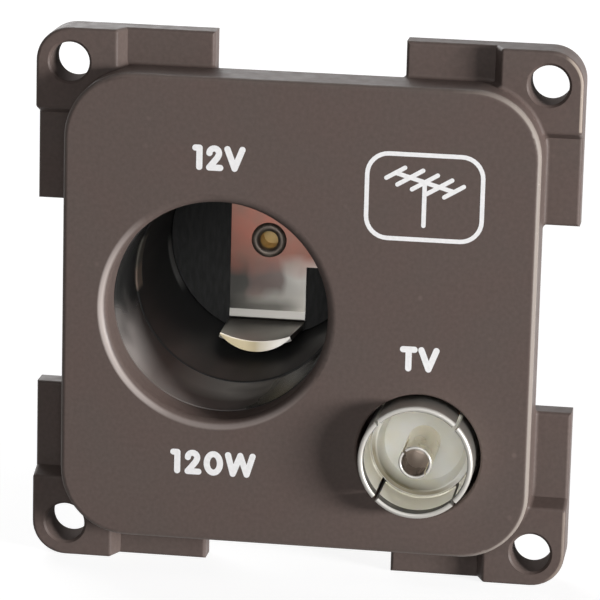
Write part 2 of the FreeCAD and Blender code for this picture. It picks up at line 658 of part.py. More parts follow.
os.makedirs("parts", exist_ok=True)
for piece in PIECES:
    shape = piece()
    shape.exportStep(f"parts/{piece.__name__}.step")
    print(piece.__name__, "solids", len(shape.Solids), "valid", shape.isValid(),
          "volume", round(shape.Volume, 2))
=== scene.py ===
"""Finishes, print, thread and stage for a vehicle's built-in module: a 12 V socket and an aerial outlet.

Metres, in the part's own frame: +Z is up and the face looks along -Y.
"""
import math

import bmesh
import bpy
from bpy.props import FloatProperty, FloatVectorProperty, PointerProperty
from mathutils import Euler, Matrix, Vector
from mathutils.geometry import delaunay_2d_cdt


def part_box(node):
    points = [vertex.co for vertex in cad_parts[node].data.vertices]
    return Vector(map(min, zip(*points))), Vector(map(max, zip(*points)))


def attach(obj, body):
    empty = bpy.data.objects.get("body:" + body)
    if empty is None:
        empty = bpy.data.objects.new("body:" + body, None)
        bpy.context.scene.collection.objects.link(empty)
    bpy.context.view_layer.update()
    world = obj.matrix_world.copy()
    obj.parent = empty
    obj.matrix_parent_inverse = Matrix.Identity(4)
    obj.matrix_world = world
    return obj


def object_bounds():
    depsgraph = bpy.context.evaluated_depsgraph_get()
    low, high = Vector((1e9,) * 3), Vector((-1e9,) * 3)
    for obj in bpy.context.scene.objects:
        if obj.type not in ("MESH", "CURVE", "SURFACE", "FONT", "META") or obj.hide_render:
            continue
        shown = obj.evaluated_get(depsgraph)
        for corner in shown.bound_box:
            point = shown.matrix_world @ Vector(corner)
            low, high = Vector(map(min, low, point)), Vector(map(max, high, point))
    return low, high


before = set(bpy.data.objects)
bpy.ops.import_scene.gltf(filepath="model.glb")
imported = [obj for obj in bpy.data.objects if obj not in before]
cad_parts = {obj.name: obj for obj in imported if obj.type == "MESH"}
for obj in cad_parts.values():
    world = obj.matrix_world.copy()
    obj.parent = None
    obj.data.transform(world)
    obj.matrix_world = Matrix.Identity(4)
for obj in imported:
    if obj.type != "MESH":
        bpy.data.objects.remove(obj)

bl_info = {
    "name": "Accessory Power Socket",
    "version": (1, 0, 0),
    "blender": (4, 5, 0),
    "location": "View3D > Sidebar > Socket",
    "description": "Finishes, print, thread and stage for a power socket with an aerial outlet",
    "category": "Object",
}

MM = 0.001
CAD_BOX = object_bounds()

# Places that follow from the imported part
FACE_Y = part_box("front_moulding")[0].y
FLOOR_Z = CAD_BOX[0].z
LUG_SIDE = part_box("front_moulding")[1].x
POWER_AXIS = sum(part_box("barrel_shell"), Vector()) / 2
AERIAL_AXIS = sum(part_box("aerial_shell"), Vector()) / 2
CUP_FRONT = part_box("barrel_shell")[0].y
CLIP_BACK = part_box("centre_clip")[1].y
CUP_DEPTH = CLIP_BACK - CUP_FRONT
RIVET_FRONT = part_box("centre_rivet")[0].y
TUBE_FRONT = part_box("aerial_centre_contact")[0].y
NUT_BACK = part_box("aerial_nut")[1].y
SHELL_FRONT, PORT_BACK = (corner.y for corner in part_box("aerial_shell"))

# Margin of a lug beyond its screw hole's axis, and the axis's place across and up from the part's middle
LUG_MARGIN = 3.3 * MM
HOLE_PLACE = LUG_SIDE - LUG_MARGIN

# Zones of wear, grime, painted highlights and painted shade, from an outlet's axis or the part's middle, and
# in depth from a piece's end.
# A fade runs from its first value to its second, from 0 to 1 or from its third value to its fourth.
# A band is 1 between its first two values and fades out over its third.
# A direction is the shares of X and Z in a place across the face.

# Zones of the moulding: lip of the mouth, edge of the face, right lugs and screw holes
LIP_BAND = (11.15 * MM, 11.45 * MM, 0.2 * MM)
LIP_DIRECTION = (1.0, 0.27)
LIP_LEFT = (-4.5 * MM, -11.5 * MM)
LIP_BOTTOM = (-6.0 * MM, -10.0 * MM, 0.0, 0.35)
FACE_EDGE_START = (0.015 * MM, 0.07 * MM)
FACE_EDGE_END = (1.1 * MM, 0.7 * MM)
FACE_EDGE_RIGHT = (2.0 * MM, 8.0 * MM, 0.12, 1.0)
PAST_MOUTH = (12.0 * MM, 12.1 * MM)
PAST_AERIAL = (6.6 * MM, 6.7 * MM)
LUG_SIDE_BAND = (LUG_SIDE - 0.3 * MM, LUG_SIDE - 0.1 * MM, 0.06 * MM)
LUG_SIDE_HEIGHT = (18.7 * MM, HOLE_PLACE, 0.1 * MM)
LUG_CORNER_BAND = (LUG_MARGIN - 0.3 * MM, LUG_MARGIN - 0.1 * MM, 0.06 * MM)
LUG_CORNER_ACROSS = (HOLE_PLACE + 1.4 * MM, HOLE_PLACE + 2.2 * MM)
LUG_CORNER_HEIGHT = (HOLE_PLACE - 0.1 * MM, HOLE_PLACE)
LUG_UPPER = (-1.0 * MM, 1.0 * MM, 0.35, 0.8)
SCREW_HOLE = (2.05 * MM, 1.93 * MM)

# Zones of the collar, from the cup's front
COLLAR_DIRECTION = (-0.5, -0.866)
COLLAR_PATCHES = (-1.0 * MM, 1.4 * MM)
COLLAR_PAINTED_LIGHT = (6.0 * MM, 9.4 * MM)
COLLAR_RIGHT = (8.0 * MM, 2.5 * MM)
COLLAR_BOTTOM = (-6.5 * MM, 0.0)
COLLAR_LEFT = (-7.0 * MM, -8.6 * MM)
COLLAR_BACK = (-7.5 * MM, -4.0 * MM)

# Zones of the cup, from its front: inside, painted highlight behind the rim and painted highlight in the
# floor's corner
CUP_BORE = (10.7 * MM, 10.55 * MM)
CUP_FLOOR = (CUP_DEPTH + 0.4 * MM, CUP_DEPTH)
CUP_LEFT = (-7.0 * MM, -8.5 * MM)
RIM_HIGHLIGHT_DEPTH = (0.0, 2.4 * MM, 0.4 * MM)
RIM_HIGHLIGHT_HEIGHT = (-1.4 * MM, 3.4 * MM, 0.5 * MM)
RIM_HIGHLIGHT_LOWER = (1.0 * MM, 0.2 * MM)
FLOOR_HIGHLIGHT_DEPTH = (CUP_DEPTH - 1.6 * MM, CUP_DEPTH, 0.6 * MM)
FLOOR_HIGHLIGHT_HEIGHT = (-4.4 * MM, -1.2 * MM, 1.4 * MM)

# Zones of the clip, from its back: base, bend, finger and tip
CLIP_PATCHES = (-1.0 * MM, 1.0 * MM)
CLIP_DULL = (-2.0 * MM, 3.4 * MM)
SMEAR_HEIGHT = (-5.4 * MM, -2.0 * MM, 0.8 * MM)
SMEAR_SIDE = (-1.2 * MM, 0.9 * MM, 1.0 * MM)
CLIP_BLOOM = (-4.0 * MM, -1.2 * MM)
CLIP_SHADE_REACH = (6.0 * MM, 7.0 * MM)
CLIP_SHADE_SIDE = (4.2 * MM, 1.0 * MM)
CLIP_BEND = (7.48 * MM, 7.54 * MM)
CLIP_FINGER = (-1.1 * MM, -1.3 * MM)
CLIP_TIP = (-8.66 * MM, -8.74 * MM)
TIP_LEFT = (-3.4 * MM, -1.0 * MM)
TIP_RIGHT = (0.0, 2.6 * MM)

# Hollow of the rivet, from its front
RIVET_HOLLOW = (0.5 * MM, 0.9 * MM)

# Zones of the aerial outlet, from the shell's and the tube's front
SHELL_INSIDE = (5.2 * MM, 5.15 * MM)
SHELL_WALL = (0.5 * MM, 6.0 * MM, 0.1 * MM)
SHELL_RIM = (0.4 * MM, 0.25 * MM)
SHELL_GROOVE_SHADOW = (0.16 * MM, 1.7 * MM, 0.06 * MM)
TUBE_OUTSIDE = (1.33 * MM, 1.36 * MM)
TUBE_TIP = (0.2 * MM, 0.1 * MM)
DISH_DIRECTION = (-0.53, -0.85)
DISH_RIM = (4.58 * MM, 4.84 * MM, 0.1 * MM)
DISH_RIM_LOWER_LEFT = (0.5 * MM, 3.0 * MM, 0.0, 0.85)
DISH_WALL_START = (3.9 * MM, 4.4 * MM)
DISH_WALL_END = (4.6 * MM, 4.5 * MM)
DISH_WALL_LOWER_LEFT = (1.8 * MM, 4.3 * MM)

# Strokes of the letters on centre lines, in millimetres from the letter's own middle and its base line.
# A stroke is a run of corners, or an arc given as (centre, radii, first angle, last angle).
LETTER_H = 1.85
GLYPHS = {
    "1": [[(-0.4, LETTER_H), (0, LETTER_H), (0, 0)]],
    "2": [((0, LETTER_H - 0.46), (0.46, 0.46), 180, -25), [(0.42, 1.2), (0.3, 0.95), (-0.46, 0), (0.6, 0)]],
    "0": [((0, LETTER_H / 2), (0.65, LETTER_H / 2), 0, 360)],
    "T": [[(-0.55, LETTER_H), (0.55, LETTER_H)], [(0, LETTER_H), (0, 0)]],
    "V": [[(-0.72, LETTER_H), (0, 0), (0.72, LETTER_H)]],
    "W": [[(-1.2, LETTER_H), (-0.7, 0), (0, LETTER_H), (0.65, 0), (1.2, LETTER_H)]],
}

# Words on the face: base line, then each letter with its middle, in millimetres across and up the face
WORDS = {
    "print_12v": (14.17, (("1", -9.62), ("2", -8.2), ("V", -6.22))),
    "print_120w": (-15.87, (("1", -11.23), ("2", -9.74), ("0", -7.69), ("W", -5.07))),
    "print_tv": (-4.29, (("T", 10.93), ("V", 12.86))),
}

# Aerial sign, in millimetres: frame, mast and a boom with five rods
SIGN_MIDDLE = (11.94, 12.37)
SIGN_HALF = (5.49, 4.07)
SIGN_CORNER_R = 2.05
SIGN_SIDES = ((1, 1), (-1, 1), (-1, -1), (1, -1))
MAST = [(11.93, 13.79), (11.93, 9.66)]
BOOM = [(9.15, 14.62), (14.72, 13.05)]
ROD_HALVES = (1.02, 1.4, 1.4, 1.38, 1.06)
ROD_ANGLE = 31.0

# Making of the print and the thread. Angles are in degrees. The ridge's half width is a share of the pitch at
# its foot, and a share of that at its crest.
QUARTER_TURN = 90
ARC_STEP = 12.0
INSIDE_OUTLINES = 1
OUTLINE_TOLERANCE = 1e-5
FLAT_ANGLE = 1.0
RIDGE_FOOT = 0.42
RIDGE_CREST = 0.2
STEPS_PER_TURN = 48
MERGE_DISTANCE = 1e-7

# Stage: a lamp is its place, then its width and height
KEY_LAMP = (0.98, -0.45, 0.066), (0.36, 0.18)
FILL_LAMP = (0.07, -0.6, 0.17), (0.2, 0.2)
BACK_LAMP = (-0.3, 0.5, 0.35), (0.5, 0.5)
FLOOR_HALF = 3.0
FLOOR_GREY = (0.4, 0.4, 0.4, 1)
CAMERA_RANGE = (0.01, 20.0)


def settings():
    """The module's settings on the scene."""
    return bpy.context.scene.socket_settings


# Nodes that the finishes share

def socket_name(word):
    """Name of a shader's socket, from a keyword."""
    return word.replace("_", " ").title().replace("Ior", "IOR")


def shader(name, **values):
    """New material with a principled shader. Values are set on the shader's own sockets."""
    material = bpy.data.materials.new(name)
    material.use_nodes = True
    principled = material.node_tree.nodes["Principled BSDF"]
    for word, value in values.items():
        principled.inputs[socket_name(word)].default_value = value
    return material, material.node_tree, principled


def linked(tree, principled, **values):
    """Links calculated values to a shader's sockets."""
    for word, value in values.items():
        tree.links.new(value, principled.inputs[socket_name(word)])


def part_coordinates(tree, centre=(0, 0, 0), stretch=(1, 1, 1)):
    """Coordinates on the part, centred and stretched."""
    coordinates = tree.nodes.new("ShaderNodeTexCoord")
    mapping = tree.nodes.new("ShaderNodeMapping")
    mapping.inputs["Scale"].default_value = stretch
    mapping.inputs["Location"].default_value = [-c * s for c, s in zip(centre, stretch)]
    tree.links.new(coordinates.outputs["Object"], mapping.inputs["Vector"])
    return mapping.outputs["Vector"]


def maths(tree, operation, a, b=None):
    """One calculation on sockets or numbers."""
    node = tree.nodes.new("ShaderNodeMath")
    node.operation = operation
    for socket, value in zip(node.inputs, (a, b)):
        if isinstance(value, bpy.types.NodeSocket):
            tree.links.new(value, socket)
        elif value is not None:
            socket.default_value = value
    return node.outputs["Value"]


def product(tree, value, *factors):
    """Sockets and numbers multiplied together."""
    for factor in factors:
        value = maths(tree, "MULTIPLY", value, factor)
    return value


def ranged(tree, value, low, high, out_low=0.0, out_high=1.0):
    """A value mapped from one range to another and held there."""
    node = tree.nodes.new("ShaderNodeMapRange")
    for socket, number in zip(("From Min", "From Max", "To Min", "To Max"), (low, high, out_low, out_high)):
        node.inputs[socket].default_value = number
    tree.links.new(value, node.inputs["Value"])
    return node.outputs["Result"]


def scaled(tree, factor, low, high):
    """A factor from 0 to 1 mapped to a range."""
    return ranged(tree, factor, 0.0, 1.0, low, high)


def between(tree, value, low, high, soft):
    """1 where a value lies between two others, 0 beyond them, with soft ends."""
    return product(tree, ranged(tree, value, low - soft, low), ranged(tree, value, high + soft, high))


def noise(tree, vector, per_metre, detail=2.0):
    """Noise with that many cells to a metre."""
    node = tree.nodes.new("ShaderNodeTexNoise")
    node.inputs["Scale"].default_value = per_metre
    node.inputs["Detail"].default_value = detail
    tree.links.new(vector, node.inputs["Vector"])
    return node.outputs["Fac"]


def clouds(tree, vector, per_metre, detail=2.0, ends=(0.3, 0.7), out=(0.0, 1.0)):
    """Noise between two ends, mapped to a range."""
    return ranged(tree, noise(tree, vector, per_metre, detail), *ends, *out)


def mixed(tree, factor, a, b):
    """Two colours mixed by a factor. A colour is a socket or a tuple."""
    node = tree.nodes.new("ShaderNodeMix")
    node.data_type = "RGBA"
    sockets = {s.identifier: s for s in node.inputs}
    for key, value in (("Factor_Float", factor), ("A_Color", a), ("B_Color", b)):
        if isinstance(value, bpy.types.NodeSocket):
            tree.links.new(value, sockets[key])
        else:
            sockets[key].default_value = (*value, 1.0) if key.endswith("Color") else value
    return next(s for s in node.outputs if s.identifier == "Result_Color")


def bumped(tree, principled, height, strength, depth):
    """Bump on a shader from a height, with its depth in metres."""
    bump = tree.nodes.new("ShaderNodeBump")
    bump.inputs["Strength"].default_value = strength
    bump.inputs["Distance"].default_value = depth
    tree.links.new(height, bump.inputs["Height"])
    tree.links.new(bump.outputs["Normal"], principled.inputs["Normal"])


def at_depth(axis, depth):
    """Point of an axis along Y at a place along it."""
    return axis.x, depth, axis.z


def place_parts(tree, centre=(0, 0, 0)):
    """Place on the part from a centre, as X, Y and Z."""
    split = tree.nodes.new("ShaderNodeSeparateXYZ")
    tree.links.new(part_coordinates(tree, centre), split.inputs["Vector"])
    return split.outputs


def distance(tree, across, up):
    """Distance from the part of it across and the part of it up."""
    return maths(tree, "SQRT", maths(tree, "ADD", product(tree, across, across), product(tree, up, up)))


def axis_parts(tree, point):
    """Distance from an axis along Y, and the place from a point of that axis."""
    place = place_parts(tree, point)
    return distance(tree, place["X"], place["Z"]), place


def leaning(tree, place, x_share, z_share):
    """How far a place lies in a direction across the face."""
    return maths(tree, "ADD", product(tree, place["X"], x_share), product(tree, place["Z"], z_share))


def tinted(colour, factor):
    """A colour made darker or lighter."""
    return tuple(min(1.0, c * factor) for c in colour)


def toned(colour, *factors):
    """A colour with a factor for each of red, green and blue."""
    return tuple(c * factor for c, factor in zip(colour, factors))


# Finishes

def speckled(tree, vector, base):
    """The moulding's colour: fine speckle, soft cool and warm mottling and a few pale specks."""
    mottle_share, specks_per_metre = 0.35, 420
    speck_edge, speck_choice = (0.14, 0.05), (0.7, 0.97, 0.0, 0.4)
    colour = mixed(tree, clouds(tree, vector, 2600, detail=3.0), tinted(base, 0.88), tinted(base, 1.12))
    cool, warm = toned(base, 0.95, 1.0, 1.0), toned(base, 1.06, 0.97, 0.96)
    colour = mixed(tree, mottle_share, colour, mixed(tree, clouds(tree, vector, 170), cool, warm))
    specks = tree.nodes.new("ShaderNodeTexVoronoi")
    specks.inputs["Scale"].default_value = specks_per_metre
    tree.links.new(vector, specks.inputs["Vector"])
    chosen = tree.nodes.new("ShaderNodeSeparateColor")
    tree.links.new(specks.outputs["Color"], chosen.inputs["Color"])
    dot = product(tree, ranged(tree, specks.outputs["Distance"], *speck_edge),
                  ranged(tree, chosen.outputs["Red"], *speck_choice))
    return mixed(tree, dot, colour, tinted(base, 1.9))


def painted_lip_highlight(tree):
    """Painted highlight on the mouth's lip, most at its left and some at its bottom."""
    radius, place = axis_parts(tree, POWER_AXIS)
    lip_highlight = maths(tree, "MAXIMUM", ranged(tree, leaning(tree, place, *LIP_DIRECTION), *LIP_LEFT),
                 ranged(tree, place["Z"], *LIP_BOTTOM))
    return product(tree, lip_highlight, between(tree, radius, *LIP_BAND))


def painted_edge_highlight(tree):
    """Painted highlight on the face's outer edge, most at its right."""
    mouth_radius, _ = axis_parts(tree, POWER_AXIS)
    aerial_radius, place = axis_parts(tree, at_depth(AERIAL_AXIS, FACE_Y))
    edge = product(tree, ranged(tree, place["Y"], *FACE_EDGE_START), ranged(tree, place["Y"], *FACE_EDGE_END))
    return product(tree, edge, ranged(tree, place["X"], *FACE_EDGE_RIGHT),
                   ranged(tree, mouth_radius, *PAST_MOUTH), ranged(tree, aerial_radius, *PAST_AERIAL))


def hole_parts(tree):
    """Distance from the nearest screw hole's axis, the place on the part and the height without its sign."""
    place = place_parts(tree)
    across, height = (maths(tree, "ABSOLUTE", place[axis]) for axis in ("X", "Z"))
    offsets = [maths(tree, "SUBTRACT", value, HOLE_PLACE) for value in (across, height)]
    return distance(tree, *offsets), place, height


def painted_lug_highlight(tree, from_hole, place, height):
    """Painted highlight on the right lugs' outer edges, more on the upper lug."""
    side = product(tree, between(tree, place["X"], *LUG_SIDE_BAND), between(tree, height, *LUG_SIDE_HEIGHT))
    corner = product(tree, between(tree, from_hole, *LUG_CORNER_BAND),
                     ranged(tree, place["X"], *LUG_CORNER_ACROSS), ranged(tree, height, *LUG_CORNER_HEIGHT))
    return product(tree, maths(tree, "MAXIMUM", side, corner), ranged(tree, place["Z"], *LUG_UPPER))


def satin_moulding():
    """Brown-grey satin moulding with painted highlights on the lip, the face's right edge and the right lugs'
    edges, and matt and a little darker in its screw holes as painted shade.
    """
    base = tuple(settings().face_colour)
    lip_highlight_colour, edge_highlight_colour, lug_highlight_colour = (0.44, 0.385, 0.36), (0.285, 0.247, 0.219), (0.36, 0.3, 0.25)
    lip_cover, edge_cover, matt = 0.85, 0.8, 0.95
    material, tree, principled = shader("satin_moulding", specular_ior_level=0.2)
    vector = part_coordinates(tree)
    lip_highlight = painted_lip_highlight(tree)
    from_hole, place, height = hole_parts(tree)
    hole = ranged(tree, from_hole, *SCREW_HOLE)
    # Painted highlights on the lip, the face's edge and the right lugs, and painted shade in the screw holes
    colour = mixed(tree, product(tree, lip_highlight, lip_cover), speckled(tree, vector, base), lip_highlight_colour)
    # Painted highlight along the face's outer edge, strongest at its right
    colour = mixed(tree, product(tree, painted_edge_highlight(tree), edge_cover), colour, edge_highlight_colour)
    # Painted highlight along the right lugs' outer edges
    colour = mixed(tree, painted_lug_highlight(tree, from_hole, place, height), colour, lug_highlight_colour)
    # Painted shade: the screw holes are a little darker than the face
    colour = mixed(tree, hole, colour, tinted(base, 0.95))
    rough = clouds(tree, vector, 900, ends=(0.25, 0.75), out=(0.44, 0.57))
    rough = product(tree, rough, scaled(tree, lip_highlight, 1.0, 0.6))
    rough = maths(tree, "MAXIMUM", rough, product(tree, hole, matt))
    linked(tree, principled, base_color=colour, roughness=rough)
    bumped(tree, principled, noise(tree, vector, 3200), strength=0.2, depth=0.02 * MM)
    return material


def collar_painted_light():
    """Glossy black collar with painted light in grey from its left to its bottom, palest at the back of its
    bottom as a painted highlight.
    """
    base = tuple(settings().black_colour)
    low_grey, left_grey = (0.12, 0.104, 0.097), (0.2, 0.178, 0.168)
    front_grey, back_grey = (0.22, 0.2, 0.19), (0.95, 0.93, 0.87)
    material, tree, principled = shader("collar_painted_light", specular_ior_level=0.5)
    place = place_parts(tree, at_depth(POWER_AXIS, CUP_FRONT))
    cloud = clouds(tree, part_coordinates(tree, POWER_AXIS), 200, detail=1.0)
    lean = leaning(tree, place, *COLLAR_DIRECTION)
    patchy = maths(tree, "ADD", lean, scaled(tree, cloud, *COLLAR_PATCHES))
    # Painted light: a grey patch on the collar's lower left, palest at the back of its bottom as a painted
    # highlight
    painted_light_patch = product(tree, ranged(tree, patchy, *COLLAR_PAINTED_LIGHT), ranged(tree, place["X"], *COLLAR_RIGHT))
    bottom = mixed(tree, ranged(tree, place["Y"], *COLLAR_BACK), front_grey, back_grey)
    grey = mixed(tree, ranged(tree, place["X"], *COLLAR_BOTTOM), low_grey, bottom)
    grey = mixed(tree, ranged(tree, place["X"], *COLLAR_LEFT), grey, left_grey)
    black = mixed(tree, cloud, tinted(base, 0.45), tinted(base, 0.8))
    linked(tree, principled, base_color=mixed(tree, painted_light_patch, black, grey),
           roughness=scaled(tree, painted_light_patch, 0.2, 0.45))
    bumped(tree, principled, cloud, strength=0.03, depth=0.02 * MM)
    return material


def cup_lacquer():
    """Black lacquer on the drawn cup, cloudy along the bore, paler inside as painted light, with painted
    highlights on the bore's left behind the rim and in the floor's corner.
    """
    base = tuple(settings().black_colour)
    upper_rim_highlight, lower_rim_highlight, floor_corner_highlight = (0.44, 0.41, 0.35), (0.8, 0.62, 0.5), (0.7, 0.7, 0.68)
    along_bore = (1, 0.15, 1)
    material, tree, principled = shader("cup_lacquer", specular_ior_level=0.5)
    cloud = clouds(tree, part_coordinates(tree, POWER_AXIS, along_bore), 380)
    colour = mixed(tree, cloud, tinted(base, 0.9), tinted(base, 1.5))
    radius, place = axis_parts(tree, at_depth(POWER_AXIS, CUP_FRONT))
    # Painted light: the inside of the cup is paler, standing in for light that reaches into the bore
    inside = product(tree, ranged(tree, radius, *CUP_BORE), ranged(tree, place["Y"], *CUP_FLOOR))
    colour = mixed(tree, inside, colour, mixed(tree, cloud, tinted(base, 2.4), tinted(base, 3.6)))
    left = product(tree, inside, ranged(tree, place["X"], *CUP_LEFT))
    # Painted highlight on the bore's left just behind the cup's rim
    rim = product(tree, left, between(tree, place["Y"], *RIM_HIGHLIGHT_DEPTH),
                  between(tree, place["Z"], *RIM_HIGHLIGHT_HEIGHT))
    rim_highlight_colour = mixed(tree, ranged(tree, place["Z"], *RIM_HIGHLIGHT_LOWER), upper_rim_highlight, lower_rim_highlight)
    colour = mixed(tree, rim, colour, rim_highlight_colour)
    # Painted highlight in the floor's corner on the bore's left
    corner = product(tree, left, between(tree, place["Y"], *FLOOR_HIGHLIGHT_DEPTH),
                     between(tree, place["Z"], *FLOOR_HIGHLIGHT_HEIGHT))
    linked(tree, principled, base_color=mixed(tree, corner, colour, floor_corner_highlight),
           roughness=scaled(tree, cloud, 0.34, 0.48))
    bumped(tree, principled, cloud, strength=0.03, depth=0.02 * MM)
    return material


def pressed_board():
    """Black pressed insulating board with short fibres."""
    base = tuple(settings().black_colour)
    along_fibres = (1.0, 1.0, 0.25)
    material, tree, principled = shader("pressed_board", specular_ior_level=0.3)
    fibres = noise(tree, part_coordinates(tree, stretch=along_fibres), 2400, detail=4.0)
    colour = mixed(tree, ranged(tree, fibres, 0.35, 0.7), tinted(base, 1.4), tinted(base, 2.8))
    linked(tree, principled, base_color=colour, roughness=ranged(tree, fibres, 0.3, 0.7, 0.5, 0.68))
    bumped(tree, principled, fibres, strength=0.25, depth=0.02 * MM)
    return material


def clip_base(tree, vector, place, nickel, copper):
    """The clip's flat: dull to bright plate, a smear, a copper-red bloom and a dark band near the bend."""
    smear_brown, smear_cover, shade_cover = (0.19, 0.13, 0.12), 0.7, 0.75
    cloud = clouds(tree, vector, 240, ends=(0.25, 0.75), out=CLIP_PATCHES)
    height, side = (maths(tree, "ADD", place[axis], cloud) for axis in ("Z", "X"))
    dull = mixed(tree, ranged(tree, side, *CLIP_DULL), tinted(nickel, 0.13), tinted(nickel, 1.05))
    smear = product(tree, between(tree, height, *SMEAR_HEIGHT), between(tree, side, *SMEAR_SIDE), smear_cover)
    dull = mixed(tree, smear, dull, smear_brown)
    bloom = mixed(tree, clouds(tree, vector, 330, ends=(0.35, 0.65)), tinted(copper, 1.25),
                  toned(copper, 0.95, 1.3, 1.35))
    base = mixed(tree, ranged(tree, height, *CLIP_BLOOM), dull, bloom)
    reach = maths(tree, "ABSOLUTE", place["Z"])
    shade = product(tree, ranged(tree, reach, *CLIP_SHADE_REACH), ranged(tree, side, *CLIP_SHADE_SIDE),
                    shade_cover)
    base = mixed(tree, shade, base, tinted(nickel, 0.08))
    return mixed(tree, ranged(tree, reach, *CLIP_BEND), base, tinted(nickel, 0.4))


def clip_plate():
    """Plated spring strip: stained flat with painted shade near the bend, grey bend, pale finger and a tip
    painted from shade to light.
    """
    look = settings()
    tip_shaded, tip_half_lit = (0.16, 0.135, 0.09), (0.31, 0.264, 0.172)
    nickel, copper = tuple(look.nickel_colour), tuple(look.copper_colour)
    material, tree, principled = shader("clip_plate", metallic=1.0)
    centre = at_depth(POWER_AXIS, CLIP_BACK)
    vector, place = part_coordinates(tree, centre), place_parts(tree, centre)
    colour = clip_base(tree, vector, place, nickel, copper)
    colour = mixed(tree, ranged(tree, place["Y"], *CLIP_FINGER), colour, tinted(nickel, 0.75))
    # Painted shade and light: the tip runs from dark at its left to bright at its right
    tip = mixed(tree, ranged(tree, place["X"], *TIP_LEFT), tip_shaded, tip_half_lit)
    tip = mixed(tree, ranged(tree, place["X"], *TIP_RIGHT), tip, tinted(nickel, 0.95))
    linked(tree, principled, base_color=mixed(tree, ranged(tree, place["Y"], *CLIP_TIP), colour, tip),
           roughness=clouds(tree, vector, 160, detail=1.0, out=(0.28, 0.31)))
    return material


def rolled_rivet():
    """Brass rivet, bright in its hollow and grey and grimy on the rolled rim."""
    brass = tuple(settings().brass_colour)
    dark_grey, pale_grey = (0.28, 0.22, 0.185), (0.46, 0.39, 0.33)
    material, tree, principled = shader("rolled_rivet", metallic=0.6)
    place = place_parts(tree, at_depth(POWER_AXIS, RIVET_FRONT))
    cloud = clouds(tree, part_coordinates(tree), 900)
    rim = mixed(tree, cloud, dark_grey, pale_grey)
    hollow = mixed(tree, cloud, tinted(brass, 1.3), tinted(brass, 1.6))
    linked(tree, principled, base_color=mixed(tree, ranged(tree, place["Y"], *RIVET_HOLLOW), rim, hollow),
           roughness=scaled(tree, cloud, 0.4, 0.52))
    return material


def metal(name, base, axis, rough, dull=0.82):
    """Turned or rolled metal: rings of fine tool marks about an axis, and a cloudy dulling."""
    material, tree, principled = shader(name, metallic=1.0)
    radius, place = axis_parts(tree, axis)
    ring = tree.nodes.new("ShaderNodeCombineXYZ")
    tree.links.new(radius, ring.inputs["X"])
    tree.links.new(place["Y"], ring.inputs["Y"])
    marks = clouds(tree, ring.outputs["Vector"], 5200)
    tarnish = clouds(tree, part_coordinates(tree), 420, detail=3.0, ends=(0.45, 0.8), out=(0.0, 0.35))
    bright = mixed(tree, marks, tinted(base, 0.97), tinted(base, 1.02))
    linked(tree, principled, base_color=mixed(tree, tarnish, bright, tinted(base, dull)),
           roughness=scaled(tree, marks, rough * 0.92, rough * 1.1))
    bumped(tree, principled, marks, strength=0.015, depth=0.01 * MM)
    return material


def grooved_shell():
    """Nickel plate of the aerial shell and nut, with wear at the rim, a painted shadow just inside it,
    painted light on the inner wall and painted shade on the outer wall.
    """
    nickel = tuple(settings().nickel_colour)
    painted_light_inside, groove_shadow_black, rim_wear = (1.0, 0.99, 0.94), (0.03, 0.028, 0.025), 0.55
    material = metal("shell_nickel", nickel, AERIAL_AXIS, rough=0.4)
    tree = material.node_tree
    principled = tree.nodes["Principled BSDF"]
    plate = principled.inputs["Base Color"].links[0].from_socket
    radius, place = axis_parts(tree, at_depth(AERIAL_AXIS, SHELL_FRONT))
    inside = ranged(tree, radius, *SHELL_INSIDE)
    # Painted light on the shell's inner wall and painted shade on its outer wall
    wall = mixed(tree, inside, tinted(nickel, 0.62), painted_light_inside)
    plate = mixed(tree, between(tree, place["Y"], *SHELL_WALL), plate, wall)
    rim = ranged(tree, place["Y"], *SHELL_RIM)
    plate = mixed(tree, rim, plate, tinted(nickel, 0.58))
    # Painted shadow: a black band in the groove just inside the shell's rim
    groove_shadow = product(tree, between(tree, place["Y"], *SHELL_GROOVE_SHADOW), inside)
    dull = maths(tree, "MAXIMUM", groove_shadow, product(tree, rim, rim_wear))
    linked(tree, principled, base_color=mixed(tree, groove_shadow, plate, groove_shadow_black),
           metallic=maths(tree, "SUBTRACT", 1.0, dull))
    return material


def bored_contact():
    """Smooth nickel tube, warmed outside as a painted reflection of the ivory, dark inside its bore and dull
    at its tip.
    """
    nickel = tuple(settings().nickel_colour)
    bore_dark, bore_pale = (0.34, 0.3, 0.265), (0.5, 0.445, 0.4)
    material, tree, principled = shader("bored_contact", metallic=1.0)
    radius, place = axis_parts(tree, at_depth(AERIAL_AXIS, TUBE_FRONT))
    cloud = clouds(tree, part_coordinates(tree), 400, detail=0.0)
    bore = mixed(tree, cloud, bore_dark, bore_pale)
    # Painted reflection: the tube's outside is warmed towards the ivory around it
    warm = toned(nickel, 1.08, 1.05, 0.96)
    outside = mixed(tree, cloud, tinted(warm, 0.97), tinted(warm, 1.03))
    colour = mixed(tree, ranged(tree, radius, *TUBE_OUTSIDE), bore, outside)
    tip = ranged(tree, place["Y"], *TUBE_TIP)
    linked(tree, principled, base_color=mixed(tree, tip, colour, tinted(nickel, 0.62)),
           metallic=scaled(tree, tip, 1.0, 0.4), roughness=scaled(tree, cloud, 0.26, 0.29))
    return material


